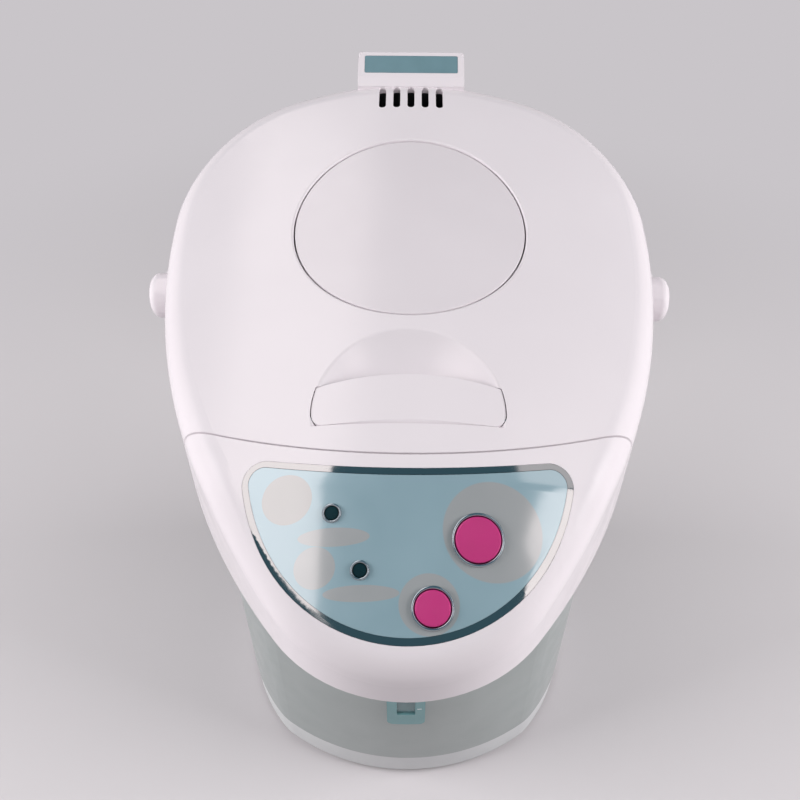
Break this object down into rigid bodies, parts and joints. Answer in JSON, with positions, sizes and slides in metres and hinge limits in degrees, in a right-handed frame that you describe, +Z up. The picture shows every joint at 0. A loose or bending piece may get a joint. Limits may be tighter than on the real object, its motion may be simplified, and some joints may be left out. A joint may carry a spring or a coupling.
{
  "type": "electric thermo pot",
  "caption": "Electric hot-water pot with a beaked head over the spout, hinged lid with press plate, button panel, level gauge, bail handle and swivel stand.",
  "frame": {"origin": "centre of the foot ring, on the surface that the pot stands on; the pot axis passes through it", "axes": "+Z up along the pot axis, -Y towards the beak and the control panel, +X to the right as the user faces the panel"},
  "size_m": [0.2296, 0.3034, 0.3268],
  "materials": {
    "white_abs": "moulded gloss",
    "painted_steel": "satin enamel",
    "panel_film": "printed film",
    "mirror_trim": "polished plating",
    "pink_plastic": "moulded gloss",
    "dark_lens": "smoked",
    "teal_plastic": "moulded translucent",
    "clear_plastic": "clear",
    "riser_glass": "clear",
    "stainless": "brushed",
    "steel": "plated",
    "aluminium": "cast",
    "brass": "plain",
    "silicone": "silicone",
    "black_rubber": "matt",
    "grey_plastic": "moulded",
    "black_plastic": "moulded",
    "board": "laminate",
    "mica": "laminate",
    "plaque": "printed plate"
  },
  "bodies": {
    "stand": {"turntable": "grey_plastic", "foot_ring": "black_rubber", "glide_ring": "white_abs", "pivot_retainer": "steel", "pivot_screw": "steel"},
    "pot": {"base_ring": "white_abs", "base_cover": "grey_plastic", "base_screws": "steel", "outer_shell": "painted_steel", "gauge_frame": "teal_plastic", "gauge_window": "clear_plastic", "front_housing": "white_abs", "beak_cover": "white_abs", "beak_screws": "steel", "latch_catch": "steel", "hinge_pin": "steel", "handle_pins": "steel", "panel_plate": "panel_film", "panel_trim": "mirror_trim", "button_bezels": "mirror_trim", "indicator_bezels": "mirror_trim", "indicator_lenses": "dark_lens", "control_board": "board", "tact_switches": "black_plastic", "board_screws": "steel", "tank": "stainless", "heater_plate": "aluminium", "keep_warm_band": "mica", "thermostats": "aluminium", "tie_rods": "steel", "pump_housing": "grey_plastic", "pump_motor": "steel", "motor_mount": "black_rubber", "outlet_hose": "silicone", "riser_hose": "silicone", "riser_tube": "riser_glass", "spout_elbow": "silicone", "spout_nozzle": "white_abs", "inlet_socket": "black_plastic", "inlet_pins": "brass", "power_board": "board", "power_parts": "black_plastic"},
    "lid": {"lid_shell": "white_abs", "lid_liner": "white_abs", "liner_screws": "steel", "inner_lid": "stainless", "lid_gasket": "silicone", "air_valve": "silicone", "steam_duct": "white_abs", "label_plaque": "plaque", "bellows": "silicone", "bellows_spring": "steel", "latch_pin": "steel"},
    "press": {"press_plate": "white_abs"},
    "latch": {"latch_lever": "white_abs"},
    "handle": {"bail_handle": "white_abs"},
    "pump_key": {"pump_button": "pink_plastic"},
    "reheat_key": {"reheat_button": "pink_plastic"},
    "wheel": {"impeller": "grey_plastic", "impeller_shaft": "steel"}
  },
  "joints": [
    {"name": "swivel", "type": "hinge", "parent": "stand", "child": "pot", "pos_m": [0, 0, 0], "axis": [0, 0, 1], "continuous": true},
    {"name": "lid_hinge", "type": "hinge", "parent": "pot", "child": "lid", "pos_m": [0, 0.1086, 0.257], "axis": [-1, 0, 0], "range_deg": [0, 80]},
    {"name": "latch_lift", "type": "hinge", "parent": "lid", "child": "latch", "pos_m": [0, -0.0802, 0.27498], "axis": [1, 0, 0], "range_deg": [0, 25], "stiffness_Nm_per_rad": 0.05, "springref_deg": -20.05},
    {"name": "press_stroke", "type": "slide", "parent": "lid", "child": "press", "axis": [0, 0, -1], "range_m": [0, 0.015], "stiffness_N_per_m": 300, "springref_m": -0.01, "deforming": ["bellows", "bellows_spring"]},
    {"name": "handle_swing", "type": "hinge", "parent": "pot", "child": "handle", "pos_m": [0, 0.023, 0.2495], "axis": [1, 0, 0], "range_deg": [0, 100]},
    {"name": "pump_press", "type": "slide", "parent": "pot", "child": "pump_key", "axis": [-0.0739, 0.5, -0.8629], "range_m": [0, 0.0008], "stiffness_N_per_m": 800, "springref_m": -0.001},
    {"name": "reheat_press", "type": "slide", "parent": "pot", "child": "reheat_key", "axis": [-0.0275, 0.5, -0.8656], "range_m": [0, 0.0008], "stiffness_N_per_m": 800, "springref_m": -0.001},
    {"name": "impeller_spin", "type": "hinge", "parent": "pot", "child": "wheel", "pos_m": [0, -0.06, 0.034], "axis": [0, 0, 1], "continuous": true}
  ]
}
